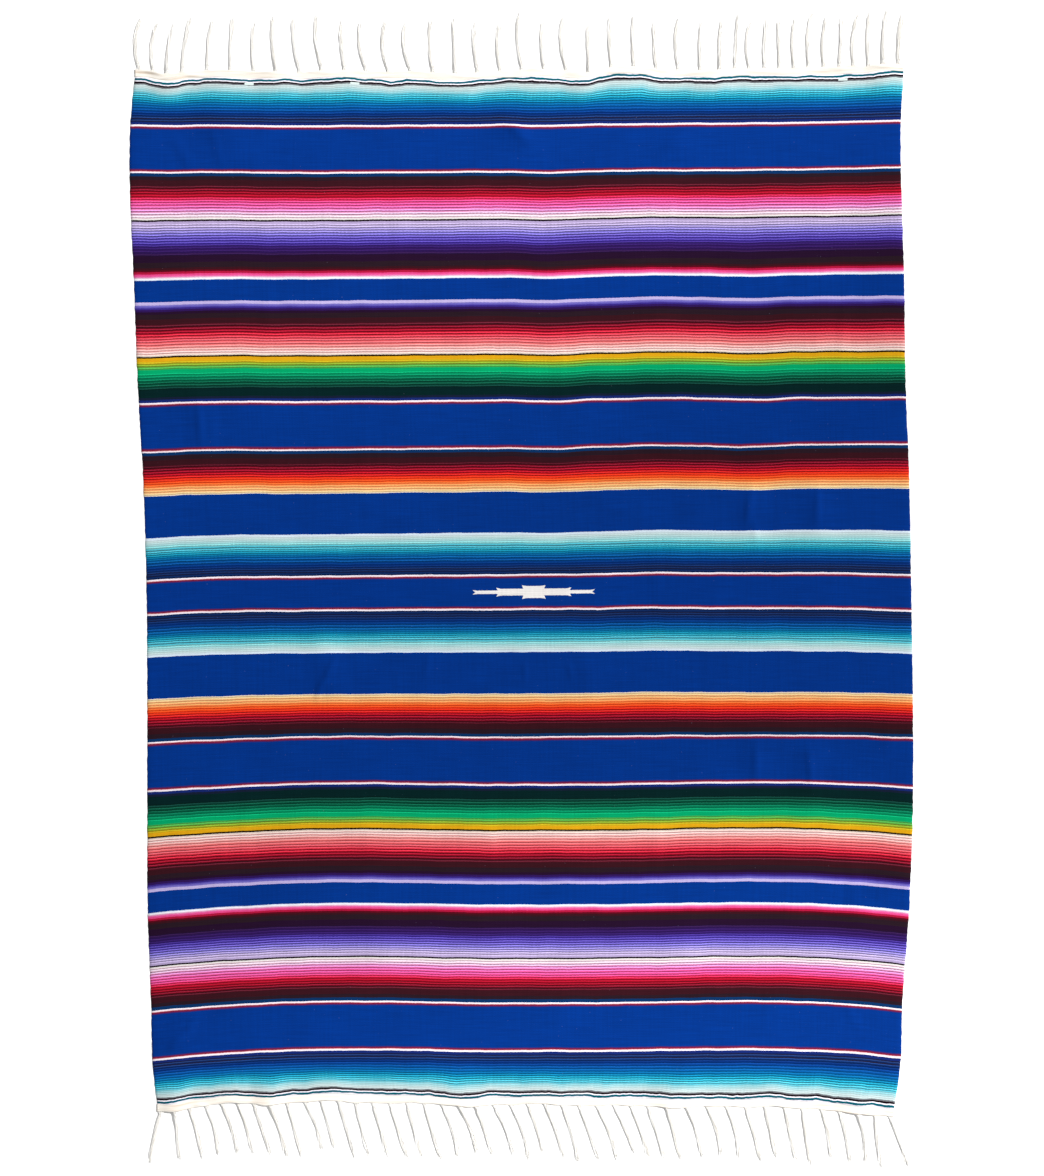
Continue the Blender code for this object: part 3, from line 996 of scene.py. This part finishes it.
class Nodes:
    """Short calls for wiring a material's nodes."""

    def __init__(self, name, roughness):
        self.material = bpy.data.materials.new(name)
        self.material.use_nodes = True
        self.tree = self.material.node_tree
        self.surface = self.tree.nodes["Principled BSDF"]
        self.set_inputs({"Roughness": roughness, "Metallic": 0})

    def set_inputs(self, values):
        for name, value in values.items():
            self.surface.inputs[name].default_value = value

    def feed(self, socket, value):
        if isinstance(value, bpy.types.NodeSocket):
            self.tree.links.new(value, socket)
        else:
            socket.default_value = value

    def math(self, operation, *values):
        node = self.tree.nodes.new("ShaderNodeMath")
        node.operation = operation
        for socket, value in zip(node.inputs, values):
            self.feed(socket, value)
        return node.outputs[0]

    def between(self, value, low, high, to_low=0.0, to_high=1.0):
        """value from low to high brought to the range from to_low to to_high, and held there."""
        node = self.tree.nodes.new("ShaderNodeMapRange")
        for socket, number in zip(node.inputs, (value, low, high, to_low, to_high)):
            self.feed(socket, number)
        return node.outputs[0]

    def mix(self, factor, first, second, blend="MIX"):
        node = self.tree.nodes.new("ShaderNodeMix")
        node.data_type = "RGBA"
        node.blend_type = blend
        self.feed(node.inputs[0], factor)
        self.feed(node.inputs[6], first)
        self.feed(node.inputs[7], second)
        return node.outputs[2]

    def place(self, attribute):
        """The three numbers of a vector attribute."""
        source = self.tree.nodes.new("ShaderNodeAttribute")
        source.attribute_name = attribute
        split = self.tree.nodes.new("ShaderNodeSeparateXYZ")
        self.tree.links.new(source.outputs["Vector"], split.inputs[0])
        return split.outputs[:]

    def vector(self, x, y, z):
        node = self.tree.nodes.new("ShaderNodeCombineXYZ")
        for socket, value in zip(node.inputs, (x, y, z)):
            self.feed(socket, value)
        return node.outputs[0]

    def noise(self, grain, across, along, depth=0.0):
        node = self.tree.nodes.new("ShaderNodeTexNoise")
        lumps = [self.math("MULTIPLY", across, grain.across), self.math("MULTIPLY", along, grain.along)]
        self.feed(node.inputs["Vector"], self.vector(*lumps, depth))
        node.inputs["Scale"].default_value = 1
        node.inputs["Detail"].default_value = grain.detail
        return node.outputs[0]

    def bump(self, height, distance):
        node = self.tree.nodes.new("ShaderNodeBump")
        node.inputs["Distance"].default_value = distance
        self.feed(node.inputs["Height"], height)
        self.feed(self.surface.inputs["Normal"], node.outputs[0])


def mixed(first, second, share):
    return tuple(a + (b - a) * share for a, b in zip(first, second))


def weft_lines():
    """(start, colour) of every line of weft from the centre to the end, light and dark picks among them."""
    lines = []
    ends = BANDS[1:] + (Band(PANEL_HALF_LENGTH / MM, FIELD_YARN),)
    for band, following in zip(BANDS, ends):
        own, next_own = YARNS[band.yarn], YARNS[following.yarn]
        if not band.lines:
            lines.append((band.start, own))
        for i in range(band.lines):
            period = (following.start - band.start) / band.lines
            start = band.start + i * period
            later = mixed(own, next_own, (i + 0.5) / band.lines)
            if band.yarn in LIGHT_PICKS:
                light = mixed(own, YARNS[LIGHT_PICKS[band.yarn]], band.contrast)
            else:
                light = tuple(min(share * (1 + LIGHTER * band.contrast), 255) for share in later)
                light = mixed(light, (255, 255, 255), PALER * band.contrast)
            dark = mixed(later, (0, 0, 0), DARKER * band.contrast)
            if band.yarn in DARK_PICKS:
                dark = mixed(own, YARNS[DARK_PICKS[band.yarn]], band.contrast)
            lines.append((start, mixed(own, next_own, i / band.lines)))
            lines.append((start + DARK_AT * period, dark))
            lines.append((start + LIGHT_AT * period, light))
            lines.append((start + REST_AT * period, later))
    return lines


def weft_colour(nodes, distance):
    """The weft's colour at a distance from the centre line, through as many ramps as its lines need."""
    lines = weft_lines()
    colour = linear(YARNS[FIELD_YARN])
    for first in range(0, len(lines), RAMP_STOPS):
        part = lines[first : first + RAMP_STOPS]
        rest = lines[first + RAMP_STOPS :]
        low = part[0][0] * MM
        high = rest[0][0] * MM if rest else PANEL_HALF_LENGTH
        ramp = nodes.tree.nodes.new("ShaderNodeValToRGB")
        ramp.color_ramp.interpolation = "CONSTANT"
        for i, (start, line_colour) in enumerate(part):
            place = (start * MM - low) / (high - low)
            elements = ramp.color_ramp.elements
            element = elements[i] if i < 2 else elements.new(place)
            element.position = place
            element.color = linear(line_colour)
        nodes.feed(ramp.inputs[0], nodes.between(distance, low, high))
        colour = nodes.mix(nodes.math("GREATER_THAN", distance, low), colour, ramp.outputs[0])
    return colour


def figure_mask(nodes, across, flat):
    """1 within the stepped figure at the centre, whose steps end in swallowtails."""
    along = nodes.math("ABSOLUTE", nodes.math("SUBTRACT", across, FIGURE_MIDDLE * MM))
    height = nodes.math("ABSOLUTE", flat)
    mask = 0.0
    for half_length, half_height, corner_rise in FIGURE_STEPS:
        tip = half_length + FIGURE_FLARE
        corner_height = half_height + corner_rise
        flare = nodes.math("MULTIPLY", height, FIGURE_FLARE / corner_height)
        corner_start = (tip - FIGURE_CORNER) * MM
        limit = nodes.between(along, corner_start, tip * MM, half_height * MM, corner_height * MM)
        inside = nodes.math(
            "MULTIPLY",
            nodes.math("LESS_THAN", nodes.math("SUBTRACT", along, flare), half_length * MM),
            nodes.math("LESS_THAN", height, limit),
        )
        mask = nodes.math("MAXIMUM", inside, mask)
    return mask


def sunk_mask(nodes, across, flat):
    """1 where the far end's last dark pick sinks into the weave."""
    mask = 0.0
    for place in SUNK_PICKS:
        off = nodes.math("ABSOLUTE", nodes.math("SUBTRACT", across, place * MM))
        mask = nodes.math("MAXIMUM", nodes.math("LESS_THAN", off, SUNK_HALF_WIDTH * MM), mask)
    last = next(band for band in reversed(BANDS) if band.yarn == "jet")
    after = BANDS[BANDS.index(last) + 1]
    within = nodes.math(
        "MULTIPLY",
        nodes.math("GREATER_THAN", flat, (last.start - 1) * MM),
        nodes.math("LESS_THAN", flat, after.start * MM),
    )
    return nodes.math("MULTIPLY", mask, within)


def weave_height(nodes, across, flat, pick, warp_spacing):
    """The weave's relief: each pick goes over one warp and under the next, and the picks take turns."""
    row = nodes.math("DIVIDE", flat, pick)
    odd = nodes.math("MODULO", nodes.math("FLOOR", row), 2.0)
    column = nodes.math("ADD", nodes.math("DIVIDE", across, warp_spacing), odd)
    over = nodes.math("SINE", nodes.math("MULTIPLY", column, np.pi))
    crest = nodes.math("SINE", nodes.math("MULTIPLY", nodes.math("FRACT", row), np.pi))
    return nodes.math("MULTIPLY", crest, nodes.between(over, -1.0, 1.0, 0.55, 1.0)), over


def striped_weave():
    nodes = Nodes("striped_weft", 0.84)
    across, flat, _ = nodes.place("weave_place")
    relief, over = weave_height(nodes, across, flat, PICK, WARP_SPACING)

    # The beat of the weft is a little uneven, more so at the two ends, and each pick bulges over its warps
    distance = nodes.math("ABSOLUTE", flat)
    stray = nodes.between(distance, STRAY_FROM, PANEL_HALF_LENGTH, STRAY, STRAY_AT_ENDS)
    strayed = nodes.math("MULTIPLY", nodes.math("SUBTRACT", nodes.noise(WANDER, across, flat), 0.5), stray)
    frayed = nodes.math("MULTIPLY", nodes.math("SUBTRACT", nodes.noise(FRAYED, across, flat), 0.5), FRAY)
    bulge = nodes.math("ADD", nodes.math("MULTIPLY", over, BULGE), frayed)
    distance = nodes.math("ADD", distance, nodes.math("ADD", strayed, bulge))
    colour = weft_colour(nodes, distance)
    colour = nodes.mix(sunk_mask(nodes, across, flat), colour, linear(SUNK_COLOUR))
    figure = figure_mask(nodes, across, nodes.math("ADD", flat, bulge))
    colour = nodes.mix(figure, colour, linear(FIGURE_COLOUR))

    # Painted shade darkens the hollows of the weave between picks and warps. Dye and spinning differ along
    # each pick and from warp to warp, and here and there a pale warp shows
    shade = nodes.between(relief, 0.0, 0.5, DYE * 0.95, DYE)
    for grain, low, high in ((PICK_SHADES, 0.9, 1.1), (WARP_SHADES, 0.95, 1.05), (CLOUDS, 0.95, 1.05)):
        lumps = nodes.noise(grain, across, flat)
        shade = nodes.math("MULTIPLY", shade, nodes.between(lumps, 0.3, 0.7, low, high))
    colour = nodes.mix(1.0, colour, nodes.vector(shade, shade, shade), "MULTIPLY")
    specks = nodes.between(nodes.noise(SPECKS, across, flat), 0.86, 0.92, 0.0, 0.15)
    colour = nodes.mix(specks, colour, linear(SPECK_COLOUR))
    nodes.feed(nodes.surface.inputs["Base Color"], colour)

    fuzz = nodes.noise(FUZZ, across, flat)
    nodes.bump(nodes.math("ADD", relief, nodes.math("MULTIPLY", fuzz, 0.35)), 0.0003)
    nodes.set_inputs({"Specular IOR Level": 0.03, "Sheen Weight": 0.01, "Sheen Roughness": 0.5})
    return nodes.material


def heading_cotton():
    nodes = Nodes("heading_cotton", 0.9)
    across, depth, crumple = nodes.place("weave_place")
    relief, _ = weave_height(nodes, across, depth, HEADING_PICK, HEADING_WARP_SPACING)
    # Painted shade of the heading's wrinkles: tan streaks along the strip, stronger towards its sides
    wrinkle_shade = nodes.between(nodes.noise(WRINKLE_SHADE, across, depth), 0.48, 0.7)
    towards_sides = nodes.between(nodes.math("ABSOLUTE", across), 0.45, 0.78, 0.25, 0.75)
    pale, tan = HEADING_COTTON
    colour = nodes.mix(nodes.math("MULTIPLY", wrinkle_shade, towards_sides), linear(pale), linear(tan))
    # Painted shade darkens the hollows of the heading's weave
    shade = nodes.between(relief, 0.0, 0.6, 0.86, 1.0)
    colour = nodes.mix(1.0, colour, nodes.vector(shade, shade, shade), "MULTIPLY")
    nodes.feed(nodes.surface.inputs["Base Color"], colour)
    fuzz = nodes.noise(COTTON_FUZZ, across, depth, nodes.math("MULTIPLY", crumple, COTTON_FUZZ.across))
    nodes.bump(nodes.math("ADD", relief, nodes.math("MULTIPLY", fuzz, 0.4)), 0.0005)
    nodes.set_inputs({"Specular IOR Level": 0.2, "Sheen Weight": 0.1})
    return nodes.material


def fringe_cotton():
    nodes = Nodes("fringe_cotton", 0.92)
    around, length, shade = nodes.place("ply")
    turns = nodes.math("ADD", nodes.math("MULTIPLY", length, PLY_TURNS), nodes.math("MULTIPLY", around, 2.0))
    ply = nodes.math("SINE", nodes.math("MULTIPLY", turns, 2 * np.pi))
    # Painted shade darkens the grooves between the plies
    painted_groove_shade = nodes.between(ply, -1.0, 0.4, 0.95, 1.0)
    colour = nodes.mix(shade, *(linear(cotton) for cotton in FRINGE_COTTON))
    colour = nodes.mix(1.0, colour, nodes.vector(painted_groove_shade, painted_groove_shade, painted_groove_shade), "MULTIPLY")
    nodes.feed(nodes.surface.inputs["Base Color"], colour)
    nodes.bump(ply, 0.0001)
    nodes.set_inputs({"Specular IOR Level": 0.1, "Sheen Weight": 0.1, "Subsurface Weight": 0.5})
    nodes.set_inputs({"Subsurface Radius": (1, 1, 1), "Subsurface Scale": 0.0015})
    return nodes.material


def make_floor():
    nodes = Nodes("pale_floor", 0.9)
    nodes.set_inputs({"Base Color": (FLOOR_SHADE, FLOOR_SHADE, FLOOR_SHADE, 1), "Specular IOR Level": 0.1})
    signs = ((-1, -1), (1, -1), (1, 1), (-1, 1))
    corners = [(x * FLOOR_REACH, y * FLOOR_REACH, -FLOOR_DROP) for x, y in signs]
    floor = new_mesh_object("floor", corners, [(0, 1, 2, 3)], nodes.material, (0, 0))
    return floor


def add_lamp(name, kind, strength, place):
    """A lamp at a place, turned like the others."""
    lamp = bpy.data.lights.new(name, kind)
    lamp.energy = strength
    holder = bpy.data.objects.new(name, lamp)
    holder.location = place
    holder.rotation_euler = LIGHT_TILT
    bpy.context.scene.collection.objects.link(holder)
    return lamp


def light_scene():
    """A soft white room, and lamps from the upper right: one for all of the cloth, one more for each end."""
    world = bpy.data.worlds.new("soft_white")
    bpy.context.scene.world = world
    world.use_nodes = True
    background = world.node_tree.nodes["Background"]
    background.inputs["Color"].default_value = (1, 1, 1, 1)
    background.inputs["Strength"].default_value = ROOM_STRENGTH
    key = add_lamp("key", "SUN", KEY_STRENGTH, (0, 0, 0))
    key.angle = np.radians(KEY_WIDTH)
    towards = Euler(LIGHT_TILT).to_matrix() @ Vector((0, 0, END_LIGHT_DISTANCE))
    for name, end, power in END_LIGHTS:
        spot = add_lamp(name, "SPOT", power, Vector((END_LIGHT_X, end * END_LIGHT_Y, 0)) + towards)
        spot.spot_size = 2 * np.arctan2(END_LIGHT_REACH, END_LIGHT_DISTANCE)
        spot.spot_blend = 1
        spot.shadow_soft_size = 0.1


def make_camera(shift):
    """A camera straight above the photograph's middle, with the photograph's frame."""
    data = bpy.data.cameras.new("camera")
    data.sensor_fit = "AUTO"
    data.sensor_width = SENSOR
    data.lens = SENSOR * CAMERA_HEIGHT / (FRAME_HEIGHT * METRES_PER_PIXEL)
    camera = bpy.data.objects.new("camera", data)
    x = (FRAME_WIDTH / 2 - MIDDLE_PIXEL[0]) * METRES_PER_PIXEL + shift[0]
    y = (MIDDLE_PIXEL[1] - FRAME_HEIGHT / 2) * METRES_PER_PIXEL + shift[1]
    camera.location = (x, y, CAMERA_HEIGHT)
    bpy.context.scene.collection.objects.link(camera)
    bpy.context.scene.camera = camera


def to_frame():
    """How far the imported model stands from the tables' own middle, along X and Y."""
    lowest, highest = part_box("woven_panel")
    across, flat = np.meshgrid((-1, 1), np.linspace(-PANEL_HALF_LENGTH, PANEL_HALF_LENGTH, 400))
    x, _, _ = lie_of_cloth(across, flat)
    _, end_y, _ = lie_of_cloth(np.linspace(-1, 1, 400), np.full(400, PANEL_HALF_LENGTH))
    return (lowest.x + highest.x - x.min() - x.max()) / 2, highest.y - end_y.max()


def main():
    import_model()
    shift = to_frame()
    floor = make_floor()
    panel = make_panel(striped_weave(), shift)
    cotton, thread = heading_cotton(), fringe_cotton()
    trims = []
    for word, end, tucks, stretches in (
        ("far", 1, FAR_TUCKS, FAR_STRETCHES),
        ("near", -1, NEAR_TUCKS, NEAR_STRETCHES),
    ):
        heading = make_heading(f"heading_{word}", end, tucks, cotton, shift)
        fringe = make_fringe(f"fringe_{word}", end, stretches, thread, shift)
        for piece in (heading, fringe):
            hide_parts(f"heading_fringe_{word}")
        trims += [heading, fringe]
    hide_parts("woven_panel")
    for piece in (panel, *trims):
        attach(piece, "root")
    light_scene()
    make_camera(shift)
    bpy.context.scene.view_settings.view_transform = "Standard"


main()
